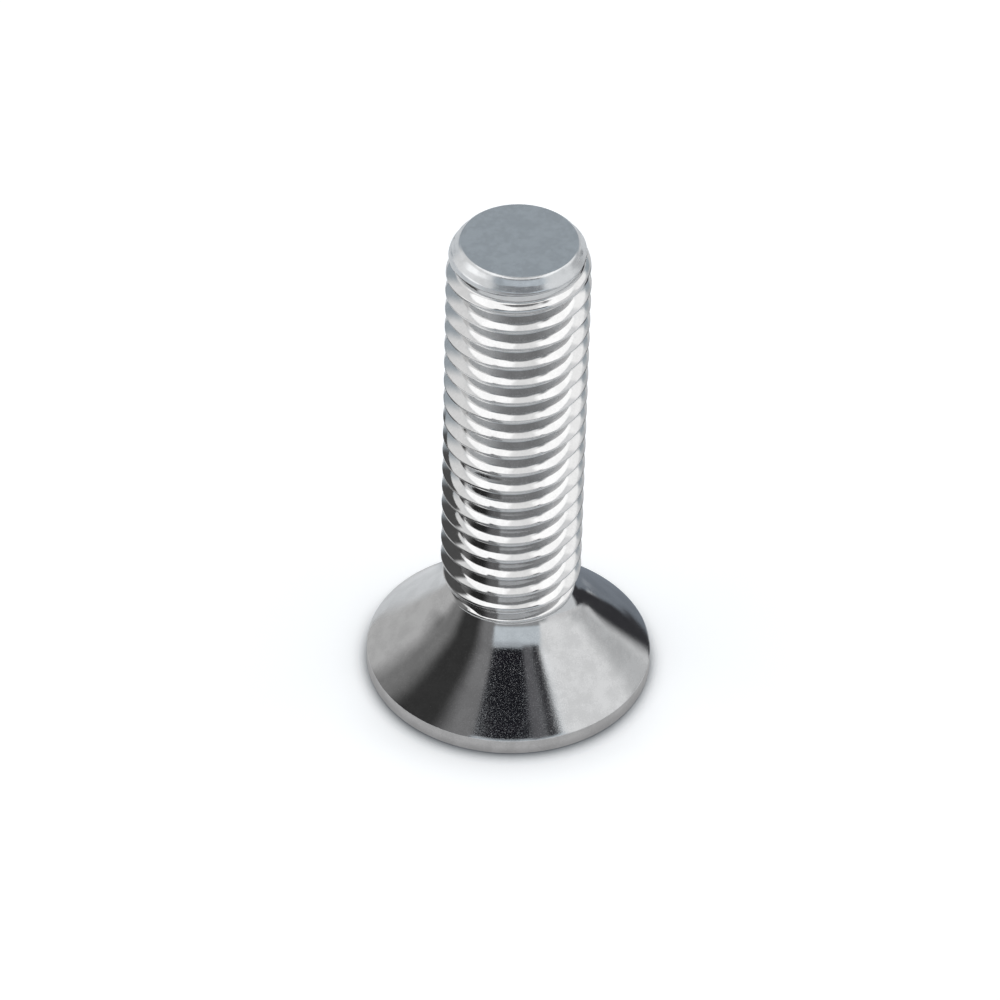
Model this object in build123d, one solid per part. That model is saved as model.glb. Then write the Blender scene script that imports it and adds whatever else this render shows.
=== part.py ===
from build123d import *
import math
import os

# Countersunk socket screw, metric M8 x 30 with a 90 degree head and a 5 mm hex socket.
# It is one cold-headed, thread-rolled piece of stainless steel, so it is one solid.
# Millimetres. The screw stands on its head: the flat face of the head is Z = 0, its axis is Z,
# and the tip points up. The origin is the centre of the head's face, where the socket opens.

# Driving dimensions
nominal_diameter = 8.0
pitch = 1.25
length = 30.0
head_diameter = 16.0
sharp_head_diameter = 17.92  # where the cone's sides would reach the face if the rim were sharp
countersink_angle = 90.0
face_edge_chamfer = 0.12
socket_width = 5.05  # across flats, for a 5 mm key
socket_depth = 3.1
socket_point_diameter = 4.8  # the punch leaves a shallow cone past the flats
socket_point_rise = 0.45

# Thread: the 60 degree metric form, right-hand, at the middle of its 6g tolerance
thread_angle = 60.0
major_diameter = 7.87
pitch_diameter = 7.10
root_diameter = nominal_diameter - 1.22687 * pitch
thread_start = 3.47  # height of the ridge's middle on the +X side, where the cone still covers it

# Tip: the rolled thread fades over a short nose, and a chamfer leads to the flat end
tip_face_diameter = 6.25
tip_shoulder_diameter = 7.3
tip_shoulder_height = 29.4
full_crest_height = 27.9
full_root_height = 28.0

# Derived radii and heights
head_radius = head_diameter / 2
major_radius = major_diameter / 2
pitch_radius = pitch_diameter / 2
root_radius = root_diameter / 2
cone_slope = math.tan(math.radians(90 - countersink_angle / 2))  # rise for each mm inwards
rim_height = (sharp_head_diameter - head_diameter) / 2 * cone_slope
neck_height = (sharp_head_diameter / 2 - root_radius) * cone_slope
flank_slope = math.tan(math.radians(thread_angle / 2))

# How far the ridge runs past what trims or carries it
ridge_embed = 0.12
ridge_overshoot = 0.06
crest_fade_sink = 0.06
ridge_turns = math.ceil((tip_shoulder_height - thread_start) / pitch)


def turned(*profile):
    """A solid turned about Z from the (radius, height) corners of its half section."""
    with BuildPart() as part:
        with BuildSketch(Plane.XZ):
            with BuildLine():
                Polyline(*profile, close=True)
            make_face()
        revolve(axis=Axis.Z)
    return part.part


def blank():
    """Head, neck and root cylinder, without the thread's ridge or the socket."""
    return turned(
        (0, 0),
        (head_radius - face_edge_chamfer, 0),
        (head_radius, face_edge_chamfer),
        (head_radius, rim_height),
        (root_radius, neck_height),
        (root_radius, full_root_height),
        (tip_shoulder_diameter / 2, tip_shoulder_height),
        (tip_face_diameter / 2, length),
        (0, length),
    )


def ridge_half_width(radius):
    """Half the ridge's width along the axis: a quarter pitch at the pitch diameter."""
    return pitch / 4 + (pitch_radius - radius) * flank_slope


def ridge():
    """The thread's right-hand ridge, one helix edge for each turn."""
    turns = [
        Edge.make_helix(pitch, pitch, pitch_radius).moved(Location((0, 0, turn * pitch)))
        for turn in range(ridge_turns)
    ]
    inner = root_radius - ridge_embed
    outer = major_radius + ridge_overshoot
    with BuildPart() as part:
        with BuildSketch(Plane.XZ):
            with BuildLine():
                Polyline(
                    (inner, -ridge_half_width(inner)),
                    (outer, -ridge_half_width(outer)),
                    (outer, ridge_half_width(outer)),
                    (inner, ridge_half_width(inner)),
                    close=True,
                )
            make_face()
        sweep(path=Wire(turns), is_frenet=True)
    return part.part.moved(Location((0, 0, thread_start)))


def crest_envelope():
    """What the crests may fill: a cylinder with a nose that dips into the blank below its shoulder."""
    return turned(
        (0, thread_start - pitch),
        (major_radius, thread_start - pitch),
        (major_radius, full_crest_height),
        (tip_shoulder_diameter / 2 - crest_fade_sink, tip_shoulder_height),
        (0, tip_shoulder_height),
    )


def socket():
    """The hexagonal recess, cut from the head's face."""
    with BuildPart() as flats:
        with BuildSketch(Plane.XY):
            RegularPolygon(socket_width / 2, 6, major_radius=False)
        extrude(amount=socket_depth)
    point = turned(
        (0, 0),
        (socket_point_diameter / 2, 0),
        (socket_point_diameter / 2, socket_depth),
        (0, socket_depth + socket_point_rise),
    )
    return flats.part + point


screw = blank() + (ridge() & crest_envelope()) - socket()

os.makedirs("parts", exist_ok=True)
export_step(screw, "parts/screw.step")

print(f"volume {screw.volume:.1f} mm3, {len(screw.solids())} solid, {len(screw.faces())} faces")
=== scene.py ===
import math

import bpy
import numpy as np
from mathutils import Matrix, Vector


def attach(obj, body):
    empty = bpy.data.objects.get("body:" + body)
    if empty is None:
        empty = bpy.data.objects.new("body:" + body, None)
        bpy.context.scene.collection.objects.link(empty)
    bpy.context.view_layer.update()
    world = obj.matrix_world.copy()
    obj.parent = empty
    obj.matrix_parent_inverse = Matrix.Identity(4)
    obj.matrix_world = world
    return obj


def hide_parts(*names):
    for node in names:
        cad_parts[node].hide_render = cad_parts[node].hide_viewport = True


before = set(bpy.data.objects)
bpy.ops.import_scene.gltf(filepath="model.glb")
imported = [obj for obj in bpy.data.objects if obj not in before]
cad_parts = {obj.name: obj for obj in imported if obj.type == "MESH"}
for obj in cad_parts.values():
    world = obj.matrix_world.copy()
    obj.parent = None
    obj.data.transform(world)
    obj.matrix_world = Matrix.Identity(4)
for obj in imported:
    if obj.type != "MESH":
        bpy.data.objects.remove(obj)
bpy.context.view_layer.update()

MM = 0.001
DEGREES = 180 / math.pi

# ---------------------------------------------------------------- camera
# The photograph is 1000 pixels square and its principal point is taken as its centre.
IMAGE_PIXELS = 1000
FOCAL_PIXELS = 5895.457
CAMERA_MM = Vector((0.0, -246.966, 224.472))
CAMERA_PITCH_DOWN = 0.7111  # this angle and the next two are in radians
CAMERA_YAW = -0.0028
CAMERA_ROLL = 0.0260
SENSOR_MM = 36.0


def make_camera():
    forward = Vector((
        math.sin(CAMERA_YAW) * math.cos(CAMERA_PITCH_DOWN),
        math.cos(CAMERA_YAW) * math.cos(CAMERA_PITCH_DOWN),
        -math.sin(CAMERA_PITCH_DOWN),
    ))
    level_right = Vector((math.cos(CAMERA_YAW), -math.sin(CAMERA_YAW), 0.0))
    level_up = level_right.cross(forward)
    right = level_right * math.cos(CAMERA_ROLL) + level_up * math.sin(CAMERA_ROLL)
    up = right.cross(forward)
    data = bpy.data.cameras.new("camera")
    data.sensor_fit = "HORIZONTAL"
    data.sensor_width = SENSOR_MM
    data.lens = FOCAL_PIXELS * SENSOR_MM / IMAGE_PIXELS
    data.clip_start = 0.01
    data.clip_end = 20.0
    camera = bpy.data.objects.new("camera", data)
    bpy.context.scene.collection.objects.link(camera)
    turn = Matrix((right, up, -forward)).transposed().to_4x4()
    camera.matrix_world = Matrix.Translation(CAMERA_MM * MM) @ turn
    bpy.context.scene.camera = camera


# ---------------------------------------------------------------- the screw's form, in millimetres
COLUMNS = 96  # round the axis
PITCH = 1.25
LENGTH = 30.0
HEAD_RADIUS = 8.0
RIM_HEIGHT = 0.96
CONE_TILT = math.radians(45.0)
SHARP_CONE_HEIGHT = 8.96  # where the cone would reach the axis
CREST_START = 3.47  # height of a crest's middle on the +X side
CREST_RADIUS = 3.925
ROOT_RADIUS = 3.233

# Socket
SOCKET_HALF_WIDTH = 2.525
SOCKET_CORNER = 0.05  # how far the hexagon's corners stop short of sharp ones
SOCKET_CORNER_SOFT = 0.06
SOCKET_DEPTH = 3.1
SOCKET_FLOOR_ROUND = 0.03
SOCKET_MOUTH_ROUND = 0.12
SOCKET_POINT_RADIUS = 2.4
SOCKET_POINT_RISE = 0.45
SOCKET_CENTRE_RING = 0.05
SOCKET_WALL_RINGS = (2.9, 2.0, 1.0, 0.3, 0.14)

# Rim and neck
RIM_MIDDLE = 0.5
RIM_ROUND = 0.12
RIM_TOP_ROUND = 0.06
NECK_FILLET = 3.9
NECK_CUT_START = 5.86  # above this the last groove cuts into the fillet
NECK_CUT_END = 6.16
NECK_CUT_DEPTH = 0.4
CONE_FIRST_RING = 1.1
# (height, radius) that the last turn's crest keeps under, as it is only part formed
NECK_CRESTS = ((5.2, 3.3), (5.9, 3.64), (6.5, 3.74), (7.3, CREST_RADIUS + 0.05))

# Ends of the threaded part, over what height it blends into the plain forms, and how softly they trim it
THREAD_LOW = 5.25
THREAD_LOW_BLEND = 0.4
THREAD_HIGH = 29.62
THREAD_HIGH_BLEND = 0.2
TRIM_SOFT = 0.04
NOSE_ROOT_SOFT = 0.08
SAME_HEIGHT = 1e-6  # a point this near an end ring, or past it, is taken as that ring's

# (height, radius) of the nose: a slow taper, a small chamfer, then the steeper wall up to the end
NOSE = (
    (27.6, 3.96),
    (28.2, 3.905),
    (28.7, 3.84),
    (29.1, 3.77),
    (29.36, 3.70),
    (29.62, 3.463),
    (29.93, 3.248),
)
# (height, radius) that the first turns' roots keep above, where they fade into the nose
NOSE_ROOTS = ((27.7, 0.0), (28.35, 3.40), (28.6, 3.49), (29.2, 3.52), (29.5, 3.60))
NOSE_FINISH_START = 29.1  # from here up the metal is as dull as the tip
TIP_WALL_TILT = math.radians(34.7)
TIP_ROUND = 0.55  # leads from the wall up to the corner
TIP_CORNER_TILT = math.radians(57.0)
TIP_CORNER = 0.05

# The rolled crest's half section: a flat, a small corner, a long shoulder, a straight flank, the root
CREST_FLAT = 0.046
CREST_CORNER = 0.02
SHOULDER_ROUND = 2.1
SHOULDER_START = math.radians(46.5)
FLANK_TILT = math.radians(60.0)
ROOT_ROUND = 0.07
CORNER_FACET = math.radians(0.2)  # a narrow facet keeps the corner's shading off the shoulder

# The seam that rolling leaves along the middle of the crest; its depth wanders along the helix
SEAM_HALF_WIDTH = 0.014
SEAM_DEPTH = 0.018
SEAM_WAVES = ((0.008, 0.71, 0.0), (0.006, 1.93, 1.0))  # (size, rate along the helix, phase)


def bend(points, size, start, stop, steps):
    """Go on from the last point along an arc, as the surface's tilt turns from start to stop."""
    u, r = points[-1]
    for tilt in np.linspace(start, stop, steps + 1)[1:]:
        across = size * (math.sin(tilt) - math.sin(start))
        outward = size * (math.cos(tilt) - math.cos(start))
        points.append((u + across, r + outward))


def ridge_section():
    """(offset from the crest's middle, radius) of half a ridge, from the crest down to the root."""
    points = [(CREST_FLAT * share, CREST_RADIUS) for share in (0.0, 0.35, 0.7, 1.0)]
    bend(points, CREST_CORNER, 0.0, SHOULDER_START, 3)
    beside_corner = SHOULDER_START + CORNER_FACET
    bend(points, SHOULDER_ROUND, SHOULDER_START, beside_corner, 1)
    bend(points, SHOULDER_ROUND, beside_corner, FLANK_TILT, 6)
    u, r = points[-1]
    drop = r - ROOT_RADIUS - ROOT_ROUND * (1 - math.cos(FLANK_TILT))
    for share in (0.5, 1.0):
        points.append((u + drop * share / math.tan(FLANK_TILT), r - drop * share))
    bend(points, -ROOT_ROUND, FLANK_TILT, 0.0, 4)
    points.append((PITCH / 2, ROOT_RADIUS))
    return points


def smooth_min(a, b, soft):
    """The lower of a and b, with the corner between them rounded off."""
    mix = np.clip(0.5 + 0.5 * (b - a) / soft, 0.0, 1.0)
    return b * (1 - mix) + a * mix - soft * mix * (1 - mix)


def smooth_max(a, b, soft):
    return -smooth_min(-a, -b, soft)


def neck_outline(z):
    """Radius of the cone and the fillet that leads from it up to the root."""
    tangent = NECK_FILLET * math.tan(CONE_TILT / 2)
    corner_z = SHARP_CONE_HEIGHT - ROOT_RADIUS
    top = corner_z + tangent
    bottom = corner_z - tangent * math.sin(CONE_TILT)
    inside = np.clip(top - z, 0.0, NECK_FILLET * math.sin(CONE_TILT))
    fillet = ROOT_RADIUS + NECK_FILLET - np.sqrt(NECK_FILLET ** 2 - inside ** 2)
    return np.where(z < bottom, SHARP_CONE_HEIGHT - z, fillet)


def nose_outline(z):
    """Radius that the tip's nose trims the thread to."""
    return np.interp(z, *zip(*NOSE))


def smooth_step(z, start, size):
    """0 up to start, then rising to 1 over the size; a negative size rises downwards."""
    share = np.clip((z - start) / size, 0.0, 1.0)
    return share * share * (3 - 2 * share)


def thread_radius(z, section_r):
    """Radius of the threaded part, where section_r is the full thread's own radius."""
    cut = np.clip((z - NECK_CUT_START) / (NECK_CUT_END - NECK_CUT_START), 0.0, 1.0)
    r = smooth_min(section_r, np.interp(z, *zip(*NECK_CRESTS)), TRIM_SOFT)
    r = smooth_max(r, neck_outline(z) - NECK_CUT_DEPTH * cut * cut, TRIM_SOFT)
    r = smooth_max(r, np.interp(z, *zip(*NOSE_ROOTS)), NOSE_ROOT_SOFT)
    r = smooth_min(r, nose_outline(z), TRIM_SOFT)
    # both ends of the threaded part run into plain turned forms
    low = smooth_step(z, THREAD_LOW, THREAD_LOW_BLEND)
    high = smooth_step(z, THREAD_HIGH, -THREAD_HIGH_BLEND)
    r = neck_outline(z) * (1 - low) + r * low
    return nose_outline(z) * (1 - high) + r * high


def socket_radius(angles):
    """Distance from the axis to the socket's hexagon, whose corners, two of them on X, are rounded."""
    from_flat = angles % (math.pi / 3) - math.pi / 6
    sharp = SOCKET_HALF_WIDTH / np.cos(from_flat)
    widest = SOCKET_HALF_WIDTH / math.cos(math.pi / 6) - SOCKET_CORNER
    return smooth_min(sharp, np.full_like(sharp, widest), SOCKET_CORNER_SOFT)


# Stainless steel in its finishes: name, colour, roughness (polished, dull), then bump height in
# millimetres and scale per millimetre for the grain and for the streaks, and how far the colour wanders
STEELS = (
    ("socket_steel", (0.58, 0.58, 0.58), (0.2, 0.3), (0.0006, 9.0), (0.0015, 3.0), 0.05),
    ("face_steel", (0.64, 0.64, 0.64), (0.22, 0.34), (0.0015, 8.0), (0.0003, 3.0), 0.06),
    ("cone_steel", (0.64, 0.64, 0.64), (0.04, 0.14), (0.0016, 19.0), (0.0005, 4.0), 0.07),
    ("thread_steel", (0.64, 0.64, 0.64), (0.06, 0.12), (0.0006, 9.0), (0.0003, 3.0), 0.04),
    ("tip_steel", (0.62, 0.63, 0.64), (0.2, 0.22), (0.0003, 4.0), (0.0002, 2.0), 0.05),
)
SOCKET_ZONE, FACE_ZONE, CONE_ZONE, THREAD_ZONE, TIP_ZONE = range(len(STEELS))


class Skin:
    """One closed surface, grown ring by ring from the socket's floor to the tip. A face's zone is the
    number of its material."""

    def __init__(self):
        self.angles = np.arange(COLUMNS) * 2 * math.pi / COLUMNS
        self.points = []
        self.faces = []
        self.zones = []
        self.last = None

    def add_points(self, xyz):
        first = len(self.points)
        self.points.extend(map(tuple, xyz))
        return list(range(first, first + len(xyz)))

    def ring(self, radius, z, zone):
        x = radius * np.cos(self.angles)
        y = radius * np.sin(self.angles)
        new = self.add_points(np.stack((x, y, np.full(COLUMNS, float(z))), 1))
        if self.last is not None:
            self.join(self.last, new, zone)
        self.last = new

    def join(self, lower, upper, zone):
        for i in range(COLUMNS):
            j = (i + 1) % COLUMNS
            self.faces.append((lower[i], lower[j], upper[j], upper[i]))
            self.zones.append(zone)

    def cap(self, z, zone, upward):
        centre = self.add_points([(0.0, 0.0, z)])[0]
        for i in range(COLUMNS):
            j = (i + 1) % COLUMNS
            face = (self.last[i], self.last[j], centre)
            self.faces.append(face if upward else face[::-1])
            self.zones.append(zone)

    def arc(self, centre_r, centre_z, size, start, stop, steps, zone):
        """Rings on a rounded edge; start and stop are how far its normal points above the horizontal."""
        for tilt in np.linspace(start, stop, steps):
            self.ring(centre_r + size * math.cos(tilt), centre_z + size * math.sin(tilt), zone)


def build_socket(skin):
    """From the point of the socket's floor down to its mouth in the head's face."""
    hexagon = socket_radius(skin.angles)
    skin.ring(SOCKET_CENTRE_RING, SOCKET_DEPTH + SOCKET_POINT_RISE, SOCKET_ZONE)
    for share in (0.25, 0.5, 0.75, 0.98):
        height = SOCKET_DEPTH + SOCKET_POINT_RISE * (1 - share)
        skin.ring(SOCKET_POINT_RADIUS * share, height, SOCKET_ZONE)
    skin.ring(SOCKET_POINT_RADIUS, SOCKET_DEPTH, SOCKET_ZONE)
    skin.ring(hexagon - SOCKET_FLOOR_ROUND, SOCKET_DEPTH, SOCKET_ZONE)
    skin.ring(hexagon - SOCKET_FLOOR_ROUND / 6, SOCKET_DEPTH - SOCKET_FLOOR_ROUND, SOCKET_ZONE)
    for height in SOCKET_WALL_RINGS:
        skin.ring(hexagon, height, SOCKET_ZONE)
    for tilt in np.linspace(0.0, math.pi / 2, 6):
        out = SOCKET_MOUTH_ROUND * (1 - math.cos(tilt))
        skin.ring(hexagon + out, SOCKET_MOUTH_ROUND * (1 - math.sin(tilt)), FACE_ZONE)


def build_head(skin):
    """The face round the socket, the rim, the cone and the neck."""
    inner = socket_radius(skin.angles) + SOCKET_MOUTH_ROUND
    outer = HEAD_RADIUS - RIM_ROUND
    for share in (0.02, 0.3, 0.65, 0.98):
        skin.ring(inner * (1 - share) + outer * share, 0.0, FACE_ZONE)
    skin.arc(outer, RIM_ROUND, RIM_ROUND, -math.pi / 2, 0.0, 9, CONE_ZONE)
    skin.ring(HEAD_RADIUS, RIM_MIDDLE, CONE_ZONE)
    round_z = RIM_HEIGHT - RIM_TOP_ROUND * math.tan(CONE_TILT / 2)
    skin.arc(HEAD_RADIUS - RIM_TOP_ROUND, round_z, RIM_TOP_ROUND, 0.0, CONE_TILT, 6, CONE_ZONE)
    for z in np.linspace(CONE_FIRST_RING, THREAD_LOW, 24):
        skin.ring(neck_outline(z), z, CONE_ZONE)


def build_thread(skin):
    """The helical part, between the rings at THREAD_LOW and THREAD_HIGH."""
    half = ridge_section()
    section = [(-u, r) for u, r in half[1:]][::-1] + half[:-1]
    rows_per_turn = len(section)
    # spare turns at both ends, as the last column starts nearly a turn above the first
    first_turn = math.floor((THREAD_LOW - CREST_START) / PITCH) - 2
    turns = math.ceil((THREAD_HIGH - THREAD_LOW) / PITCH) + 5
    turn = np.repeat(np.arange(turns) + first_turn, rows_per_turn)
    offsets, radii = (np.tile(column, turns) for column in zip(*section))
    low_ring = skin.last
    skin.last = None
    skin.ring(nose_outline(THREAD_HIGH), THREAD_HIGH, THREAD_ZONE)
    high_ring = skin.last
    # one column of points for each angle; what lies past an end ring becomes that ring's point
    ids = np.zeros((COLUMNS, len(turn)), int)
    heights = np.zeros(ids.shape)
    for i, angle in enumerate(skin.angles):
        z = CREST_START + PITCH * (turn + angle / (2 * math.pi)) + offsets
        along = turn * 2 * math.pi + angle
        waves = sum(size * np.sin(along * rate + phase) for size, rate, phase in SEAM_WAVES)
        seam = np.exp(-(offsets / SEAM_HALF_WIDTH) ** 2) * (SEAM_DEPTH + waves)
        r = thread_radius(z, radii - seam)
        inside = (z > THREAD_LOW + SAME_HEIGHT) & (z < THREAD_HIGH - SAME_HEIGHT)
        column = np.where(z <= THREAD_LOW + SAME_HEIGHT, low_ring[i], high_ring[i])
        xyz = np.stack((r * math.cos(angle), r * math.sin(angle), z), 1)
        column[inside] = skin.add_points(xyz[inside])
        ids[i] = column
        heights[i] = z
    for i in range(COLUMNS):
        here = ids[i]
        # past the last column comes the first one again, a turn higher
        there = ids[i + 1] if i + 1 < COLUMNS else np.roll(ids[0], -rows_per_turn)
        for m in range(len(here) - rows_per_turn - 1):
            corners = [int(c) for c in (here[m], there[m], there[m + 1], here[m + 1])]
            face = [c for k, c in enumerate(corners) if c != corners[k - 1]]
            if len(set(face)) > 2:
                skin.faces.append(tuple(face))
                skin.zones.append(TIP_ZONE if heights[i, m] > NOSE_FINISH_START else THREAD_ZONE)


def build_tip(skin):
    """The steep wall above the thread, the round and the corner that end it, and the flat end."""
    wall_slope = math.tan(TIP_WALL_TILT)
    corner_z = LENGTH - TIP_CORNER * (1 - math.sin(TIP_CORNER_TILT))
    round_z = corner_z - TIP_ROUND * (math.sin(TIP_CORNER_TILT) - math.sin(TIP_WALL_TILT))
    wall_z, wall_r = NOSE[-2]
    round_r = wall_r - (round_z - wall_z) * wall_slope
    for share in (0.35, 0.7):
        z = THREAD_HIGH + (round_z - THREAD_HIGH) * share
        skin.ring(wall_r - (z - wall_z) * wall_slope, z, TIP_ZONE)
    centre_r = round_r - TIP_ROUND * math.cos(TIP_WALL_TILT)
    centre_z = round_z - TIP_ROUND * math.sin(TIP_WALL_TILT)
    skin.arc(centre_r, centre_z, TIP_ROUND, TIP_WALL_TILT, TIP_CORNER_TILT, 8, TIP_ZONE)
    corner_r = centre_r + TIP_ROUND * math.cos(TIP_CORNER_TILT)
    face_r = corner_r - TIP_CORNER * math.cos(TIP_CORNER_TILT)
    past_round = TIP_CORNER_TILT + math.radians(6.0)
    skin.arc(face_r, LENGTH - TIP_CORNER, TIP_CORNER, past_round, math.pi / 2, 5, TIP_ZONE)
    for share in (0.97, 0.7, 0.4, 0.12):
        skin.ring(face_r * share, LENGTH, TIP_ZONE)
    skin.cap(LENGTH, TIP_ZONE, True)


def build_screw():
    skin = Skin()
    build_socket(skin)
    build_head(skin)
    build_thread(skin)
    build_tip(skin)
    # the floor of the socket closes on the axis, inside the first ring
    skin.last = list(range(COLUMNS))
    skin.cap(SOCKET_DEPTH + SOCKET_POINT_RISE, SOCKET_ZONE, False)
    return skin


# ---------------------------------------------------------------- helpers
def add_mesh(name, points, faces):
    """A mesh object in the scene, from points in millimetres."""
    mesh = bpy.data.meshes.new(name)
    mesh.from_pydata([tuple(c * MM for c in point) for point in points], [], faces)
    thing = bpy.data.objects.new(name, mesh)
    bpy.context.scene.collection.objects.link(thing)
    return thing


class Nodes:
    """Short calls for building a node tree."""

    def __init__(self, tree):
        self.tree = tree

    def new(self, kind, **values):
        node = self.tree.nodes.new(kind)
        for key, value in values.items():
            setattr(node, key, value)
        return node

    def put(self, socket, value):
        if isinstance(value, bpy.types.NodeSocket):
            self.tree.links.new(value, socket)
        else:
            socket.default_value = value

    def split(self, vector):
        node = self.new("ShaderNodeSeparateXYZ")
        self.put(node.inputs[0], vector)
        return node.outputs

    def math(self, operation, a, b=0.0, clamp=False):
        node = self.new("ShaderNodeMath", operation=operation, use_clamp=clamp)
        self.put(node.inputs[0], a)
        self.put(node.inputs[1], b)
        return node.outputs[0]

    def azimuth(self, x, y):
        """Degrees round the axis from the front, positive to the right, up to 180 either way."""
        return self.math("MULTIPLY", self.math("ARCTAN2", x, self.math("MULTIPLY", y, -1.0)), DEGREES)

    def full_turn(self, azimuth):
        """The same angle from 0 to 360, for what spans the back."""
        return self.math("MODULO", self.math("ADD", azimuth, 360.0), 360.0)

    def ramp(self, value, low, high, start=0.0, stop=1.0):
        """Goes smoothly from start to stop as the value goes from low to high."""
        node = self.new("ShaderNodeMapRange", interpolation_type="SMOOTHSTEP")
        names = ("Value", "From Min", "From Max", "To Min", "To Max")
        for name, number in zip(names, (value, low, high, start, stop)):
            self.put(node.inputs[name], number)
        return node.outputs["Result"]

    def window(self, value, low, low_soft, high, high_soft):
        """1 between low and high, falling to 0 over the softness on each side."""
        rise = self.ramp(value, low - low_soft, low + low_soft)
        fall = self.ramp(value, high - high_soft, high + high_soft, 1.0, 0.0)
        return self.math("MULTIPLY", rise, fall)

    def mix(self, share, a, b):
        node = self.new("ShaderNodeMix", data_type="RGBA")
        self.put(node.inputs["Factor"], share)
        self.put(node.inputs[6], a)
        self.put(node.inputs[7], b)
        return node.outputs[2]

    def noise(self, vector, scale, detail, roughness):
        node = self.new("ShaderNodeTexNoise", noise_dimensions="3D")
        self.put(node.inputs["Vector"], vector)
        node.inputs["Scale"].default_value = scale
        node.inputs["Detail"].default_value = detail
        node.inputs["Roughness"].default_value = roughness
        return node.outputs["Fac"]

    def emission(self, colour, strength=1.0):
        node = self.new("ShaderNodeEmission")
        self.put(node.inputs["Color"], colour)
        self.put(node.inputs["Strength"], strength)
        return node.outputs[0]

    def transparent(self):
        return self.new("ShaderNodeBsdfTransparent").outputs[0]

    def mix_shader(self, share, a, b):
        node = self.new("ShaderNodeMixShader")
        for socket, value in zip(node.inputs, (share, a, b)):
            self.put(socket, value)
        return node.outputs[0]

    def output(self, shader):
        self.put(self.new("ShaderNodeOutputMaterial").inputs["Surface"], shader)


def empty_material(name):
    """A material with no nodes yet, and the calls for building them."""
    material = bpy.data.materials.new(name)
    material.use_nodes = True
    material.node_tree.nodes.clear()
    return material, Nodes(material.node_tree)


# ---------------------------------------------------------------- the screw
# Streaks run up the screw, so their noise is read on a cylinder of this radius, in millimetres, whose
# height is squeezed: it changes quickly round the axis and slowly along it
STREAK_RADIUS = 6.0
STREAK_SQUEEZE = 0.12
CLOUD_SCALE = 0.9  # per millimetre
CLOUD_SHARE = 0.65  # of what the colour follows; the rest is its grains
SHADE_RANGE = (0.4, 0.6)  # noise values between which the colour goes from dark to light
SPECK_RANGE = (0.52, 0.66)  # noise values between which polished metal turns dull


def make_steel(name, tint, rough, grain, streak, mottle):
    """One of STEELS, whose comment says what the values are."""
    material = bpy.data.materials.new(name)
    material.use_nodes = True
    shader = material.node_tree.nodes["Principled BSDF"]
    shader.inputs["Metallic"].default_value = 1.0
    n = Nodes(material.node_tree)
    in_mm = n.new("ShaderNodeVectorMath", operation="SCALE")
    n.put(in_mm.inputs[0], n.new("ShaderNodeTexCoord").outputs["Object"])
    in_mm.inputs["Scale"].default_value = 1 / MM
    place = in_mm.outputs[0]
    x, y, z = n.split(place)
    around = n.math("ARCTAN2", y, x)
    streak_place = n.new("ShaderNodeCombineXYZ")
    n.put(streak_place.inputs[0], n.math("MULTIPLY", n.math("COSINE", around), STREAK_RADIUS))
    n.put(streak_place.inputs[1], n.math("MULTIPLY", n.math("SINE", around), STREAK_RADIUS))
    n.put(streak_place.inputs[2], n.math("MULTIPLY", z, STREAK_SQUEEZE))
    grain_height, grain_scale = grain
    streak_height, streak_scale = streak
    streaks = n.noise(streak_place.outputs[0], streak_scale, 3.0, 0.6)
    fine = n.noise(place, grain_scale, 3.0, 0.6)
    specks = n.noise(place, grain_scale * 0.83, 2.0, 0.5)
    cloud = n.noise(place, CLOUD_SCALE, 4.0, 0.6)
    # the colour wanders in clouds and grains, and dull specks sit in the polish
    light = [min(1.0, c * (1 + mottle)) for c in tint] + [1.0]
    dark = [c * (1 - mottle) for c in tint] + [1.0]
    clouded = n.math("MULTIPLY", cloud, CLOUD_SHARE)
    shade = n.math("ADD", clouded, n.math("MULTIPLY", specks, 1 - CLOUD_SHARE))
    n.put(shader.inputs["Base Color"], n.mix(n.ramp(shade, *SHADE_RANGE), dark, light))
    n.put(shader.inputs["Roughness"], n.ramp(specks, *SPECK_RANGE, *rough))
    bump = n.new("ShaderNodeBump")
    bump.inputs["Strength"].default_value = 1.0
    bump.inputs["Distance"].default_value = MM
    fine_height = n.math("MULTIPLY", fine, grain_height)
    n.put(bump.inputs["Height"], n.math("ADD", fine_height, n.math("MULTIPLY", streaks, streak_height)))
    n.put(shader.inputs["Normal"], bump.outputs[0])
    return material


def add_screw():
    skin = build_screw()
    screw = add_mesh("countersunk_screw", skin.points, skin.faces)
    for polygon, zone in zip(screw.data.polygons, skin.zones):
        polygon.material_index = zone
        polygon.use_smooth = True
    for steel in STEELS:
        screw.data.materials.append(make_steel(*steel))
    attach(screw, "root")
    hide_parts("screw")


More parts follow.
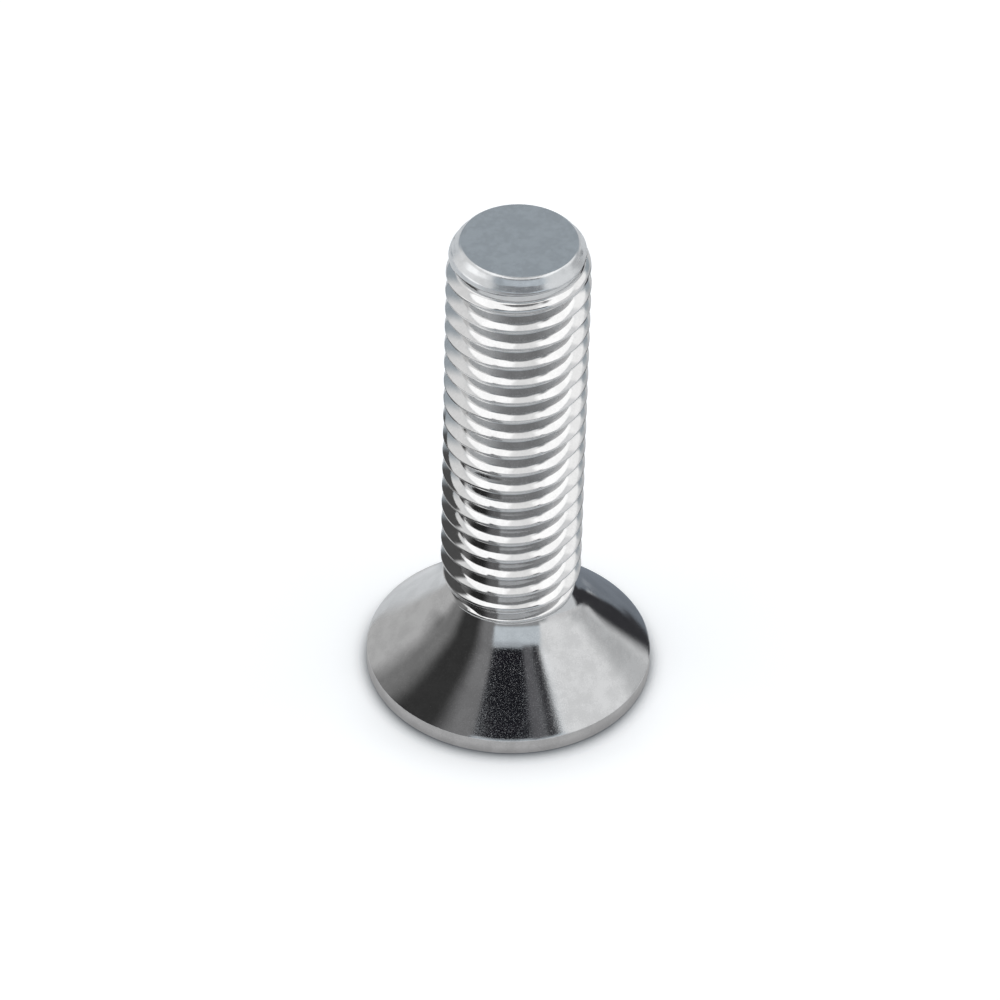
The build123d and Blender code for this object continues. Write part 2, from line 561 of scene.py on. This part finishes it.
# ---------------------------------------------------------------- studio
# Soft boxes and flags of the studio, far off: azimuth from the front, positive to the right, and
# elevation, each as (low, its softness, high, its softness) in degrees, then the colour in the metal.
# A box that spans the back has its azimuth from 0 to 360.
STUDIO = {
    "left_low": ((-128, 10, -46, 8), (-12, 4, 46, 6), (0.98, 0.98, 0.98)),
    "front_horizon": ((-34, 14, 62, 10), (-12, 4, 11.5, 2), (0.37, 0.38, 0.39)),
    "right_horizon": ((60, 6, 124, 5), (-12, 4, 10, 4), (0.82, 0.82, 0.83)),
    "left_strip": ((-95, 6, -50, 8), (3, 2.5, 24, 4), (1.5, 1.5, 1.5)),
    "front_low": ((-26, 7, 62, 8), (12, 2.5, 44.2, 1.5), (0.69, 0.75, 0.80)),
    "front_low_rise": ((-26, 7, 40, 10), (37, 4, 44.2, 1.5), (0.50, 0.54, 0.58)),
    "front_top_box": ((-20, 8, 52, 8), (50.5, 1, 70, 1.5), (1.10, 1.10, 1.10)),
    "left_upper_box": ((-110, 6, -14, 6), (44.5, 1.5, 69, 1.5), (1.50, 1.50, 1.50)),
    "right_box": ((48, 3, 124, 4), (7, 4, 43, 3), (0.95, 0.96, 0.97)),
    "right_upper_box": ((34, 6, 122, 6), (43, 1.5, 64, 2.5), (1.50, 1.50, 1.50)),
    "right_low": ((100, 8, 130, 3), (2, 4, 19, 6), (0.62, 0.63, 0.64)),
    "right_back_box": ((100, 4, 128, 5), (25, 2.5, 44, 3), (1.28, 1.28, 1.28)),
    "back_top_box": ((130, 10, 230, 10), (60, 3, 82, 3), (1.8, 1.8, 1.8)),
    "front_flag": ((-48, 2, 44, 1.5), (44.2, 1, 51, 0.8), (0.012, 0.012, 0.016)),
    "flag_corner": ((34, 2, 46, 4), (40.5, 1.5, 50, 1), (0.05, 0.05, 0.055)),
    "flag_slit": ((22, 1.5, 33, 1.5), (41.5, 1.5, 50, 1), (0.14, 0.14, 0.15)),
    "right_edge": ((126, 4, 160, 8), (-12, 4, 12, 4), (0.75, 0.76, 0.77)),
}
TOP_COLOUR = (0.22, 0.22, 0.225)
TOP_START = (52.0, 60.0)  # degrees of elevation over which the backdrop turns into it
BACKDROP_COLOUR = (0.43, 0.48, 0.52)
BELOW_COLOUR = (1.0, 1.0, 1.0)  # only the head's face and socket see it
BELOW_END = (-62.0, -30.0)  # degrees of elevation over which it ends
WHITE = (1.0, 1.0, 1.0, 1.0)


def make_world():
    world = bpy.data.worlds.new("studio")
    bpy.context.scene.world = world
    world.use_nodes = True
    background = world.node_tree.nodes["Background"]
    n = Nodes(world.node_tree)
    x, y, z = n.split(n.new("ShaderNodeTexCoord").outputs["Generated"])
    azimuth = n.azimuth(x, y)
    turned = n.full_turn(azimuth)
    elevation = n.math("MULTIPLY", n.math("ARCSINE", z), DEGREES)
    colour = n.mix(n.ramp(elevation, *TOP_START), (*BACKDROP_COLOUR, 1.0), (*TOP_COLOUR, 1.0))
    for across, upward, tint in STUDIO.values():
        side = turned if across[2] > 180 else azimuth
        share = n.math("MULTIPLY", n.window(side, *across), n.window(elevation, *upward))
        colour = n.mix(share, colour, (*tint, 1.0))
    colour = n.mix(n.ramp(elevation, *BELOW_END), (*BELOW_COLOUR, 1.0), colour)
    # the camera sees plain white
    path = n.new("ShaderNodeLightPath")
    seen = n.math("MAXIMUM", path.outputs["Is Camera Ray"], path.outputs["Is Transmission Ray"])
    n.put(background.inputs["Color"], n.mix(seen, colour, WHITE))
    background.inputs["Strength"].default_value = 1.0


# The floor: pale paper that darkens where the sky can't reach it, and the painted shade that only the
# metal sees on it.
# It is open where the head's face covers it, so that the face and socket can be seen from below.
FLOOR_RINGS = (7.8, 60.0, 4000.0)  # radii in millimetres: the opening, a middle one and the rim
PAPER = (0.87, 0.88, 0.89, 1.0)
PAPER_SHADE = (0.17, 0.185, 0.205, 1.0)
FLOOR_GLOW = 0.34
GLOSSY_GLOW_SHARE = 0.15
CONTACT_REACH = 3.3  # millimetres
CONTACT_OPENNESS = (0.36, 0.95)  # openness to the sky between which shaded paper turns into open paper
SHADED_SHARE = 0.05  # of the open paper in the deepest shade
# The contact shadow is deeper in front of the head than beside it, by this much openness
FRONT_SHADE = -0.08
SIDE_SHADE = 0.03
FRONT_TO_SIDE = (-8.0, -2.0)  # Y, in millimetres, between which the one turns into the other
# Dark and grey painted shade on the floor that only the metal sees, as painted reflections: azimuth from
# 0 to 360 and distance from the axis in millimetres, each as (low, its softness, high, its softness),
# then colour. The front one spans the front, so its azimuth is counted from the back.
FRONT_PAINTED_REFLECTION = ((145, 28, 235, 28), (46, 8, 1000, 20), (0.385, 0.39, 0.40))
PAINTED_FLOOR_REFLECTIONS = (
    ((-9, 1, 369, 1), (7.5, 0.2, 9.4, 0.6), (0.54, 0.54, 0.545)),
    ((-9, 1, 369, 1), (7.5, 0.2, 8.35, 0.3), (0.40, 0.40, 0.405)),
    ((118, 3, 205, 6), (8.5, 0.5, 20, 3), (0.21, 0.235, 0.27)),
    ((147, 4, 205, 8), (18, 2, 60, 10), (0.45, 0.48, 0.51)),
    ((118, 3, 147, 4), (18, 2, 32, 3), (0.21, 0.235, 0.27)),
    ((117, 4, 134, 3), (14.2, 1.5, 400, 20), (0.05, 0.05, 0.055)),
    ((250, 6, 284, 6), (16, 4, 52, 8), (0.08, 0.08, 0.08)),
)


def make_floor_paper():
    material, n = empty_material("floor_paper")
    x, y = n.split(n.new("ShaderNodeTexCoord").outputs["Object"])[:2]
    path = n.new("ShaderNodeLightPath")
    metal_sees = path.outputs["Is Glossy Ray"]
    # the contact shadow
    open_sky = n.new("ShaderNodeAmbientOcclusion", samples=8)
    open_sky.inputs["Distance"].default_value = CONTACT_REACH * MM
    front_y, side_y = (place * MM for place in FRONT_TO_SIDE)
    place_shade = n.ramp(y, front_y, side_y, FRONT_SHADE, SIDE_SHADE)
    openness = n.math("ADD", open_sky.outputs["AO"], place_shade)
    open_share = n.ramp(openness, *CONTACT_OPENNESS, SHADED_SHARE, 1.0)
    # the paper, and its glow to the camera and a little of it to the metal
    diffuse = n.new("ShaderNodeBsdfDiffuse")
    n.put(diffuse.inputs["Color"], n.mix(open_share, PAPER_SHADE, PAPER))
    seen = n.math("MAXIMUM", path.outputs["Is Camera Ray"], path.outputs["Is Transmission Ray"])
    seen = n.math("ADD", seen, n.math("MULTIPLY", metal_sees, GLOSSY_GLOW_SHARE), clamp=True)
    glow = n.math("MULTIPLY", n.math("MULTIPLY", seen, open_share), FLOOR_GLOW)
    both = n.new("ShaderNodeAddShader")
    n.put(both.inputs[0], diffuse.outputs[0])
    n.put(both.inputs[1], n.emission(WHITE, glow))
    paper = both.outputs[0]
    # the painted reflections of shade, one over the other
    azimuth = n.azimuth(x, y)
    from_front = n.full_turn(azimuth)
    from_back = n.math("ADD", azimuth, 180.0)
    distance = n.math("SQRT", n.math("ADD", n.math("MULTIPLY", x, x), n.math("MULTIPLY", y, y)))
    distance = n.math("MULTIPLY", distance, 1 / MM)
    painted_reflections = [(from_back, *FRONT_PAINTED_REFLECTION)] + [(from_front, *painted_reflection) for painted_reflection in PAINTED_FLOOR_REFLECTIONS]
    with_painted_reflections = paper
    for angle, around, outward, tint in painted_reflections:
        share = n.math("MULTIPLY", n.window(angle, *around), n.window(distance, *outward))
        with_painted_reflections = n.mix_shader(share, with_painted_reflections, n.emission((*tint, 1.0)))
    from_above = n.mix_shader(metal_sees, paper, with_painted_reflections)
    # from below the floor is clear
    below = n.new("ShaderNodeNewGeometry").outputs["Backfacing"]
    n.output(n.mix_shader(below, from_above, n.transparent()))
    material.use_transparent_shadow = False
    return material


def make_floor():
    turns = np.arange(COLUMNS) * 2 * math.pi / COLUMNS
    points = [(r * math.cos(a), r * math.sin(a), 0.0) for r in FLOOR_RINGS for a in turns]
    faces = []
    for first in range(0, len(points) - COLUMNS, COLUMNS):
        for i in range(COLUMNS):
            j = (i + 1) % COLUMNS
            faces.append((first + i, first + COLUMNS + i, first + COLUMNS + j, first + j))
    floor = add_mesh("floor", points, faces)
    floor.data.materials.append(make_floor_paper())


# Painted reflections: curved grey sheets standing on the floor round the screw that only the metal sees,
# so that it mirrors dark and grey things which are not in the scene. The radius is in millimetres, the
# top edge is (azimuth, height) points, and the reach is azimuths with their softness.
# The colour turns into each new one between two azimuths or heights.
STANDING_PAINTED_REFLECTIONS = (
    {
        "name": "left_painted_reflection",
        "radius": 13.0,
        "top_edge": ((-100, 11.3), (-62, 15.0), (-14, 13.5)),
        "reach": (-90, 7, -19.5, 2.5),
        "colour": (0.25, 0.25, 0.25),
        "changes": (
            ("azimuth", -78, -62, (0.045, 0.045, 0.045)),
            ("azimuth", -46, -30, (0.24, 0.24, 0.245)),
        ),
    },
    {
        "name": "left_back_painted_reflection",
        "radius": 14.0,
        "top_edge": ((-136, 19.5), (-78, 21.0)),
        "reach": (-128, 6, -86, 5),
        "colour": (0.58, 0.58, 0.58),
        "changes": (("height", 6.0, 9.5, (0.10, 0.10, 0.10)),),
    },
    {
        "name": "right_painted_reflection",
        "radius": 20.0,
        "top_edge": ((110, 5.8), (144, 5.8)),
        "reach": (118.5, 5, 137.5, 2),
        "colour": (0.045, 0.045, 0.05),
        "changes": (),
    },
)
PAINTED_REFLECTION_STEP = 2.0  # degrees


def make_painted_reflection(name, radius, top_edge, reach, colour, changes):
    low, low_soft, high, high_soft = reach
    first = low - low_soft - PAINTED_REFLECTION_STEP
    last = high + high_soft + PAINTED_REFLECTION_STEP
    columns = np.linspace(first, last, math.ceil((last - first) / PAINTED_REFLECTION_STEP) + 1)
    points = []
    for around in columns:
        turn = math.radians(around)
        for z in (0.0, np.interp(around, *zip(*top_edge))):
            points.append((radius * math.sin(turn), -radius * math.cos(turn), z))
    faces = [(2 * i, 2 * i + 2, 2 * i + 3, 2 * i + 1) for i in range(len(columns) - 1)]
    painted_reflection = add_mesh(name, points, faces)
    # seen by nothing but the metal: a painted reflection that lights and shades nothing
    for ray in ("camera", "diffuse", "transmission", "volume_scatter", "shadow"):
        setattr(painted_reflection, "visible_" + ray, False)
    material, n = empty_material(name)
    x, y, z = n.split(n.new("ShaderNodeTexCoord").outputs["Object"])
    azimuth = n.azimuth(x, y)
    height = n.math("MULTIPLY", z, 1 / MM)
    tone = (*colour, 1.0)
    for along, start, stop, new_colour in changes:
        place = azimuth if along == "azimuth" else height
        tone = n.mix(n.ramp(place, start, stop), tone, (*new_colour, 1.0))
    n.output(n.mix_shader(n.window(azimuth, *reach), n.transparent(), n.emission(tone)))
    painted_reflection.data.materials.append(material)


make_camera()
make_world()
make_floor()
for painted_reflection in STANDING_PAINTED_REFLECTIONS:
    make_painted_reflection(**painted_reflection)
add_screw()

bpy.context.scene.view_settings.view_transform = "Standard"
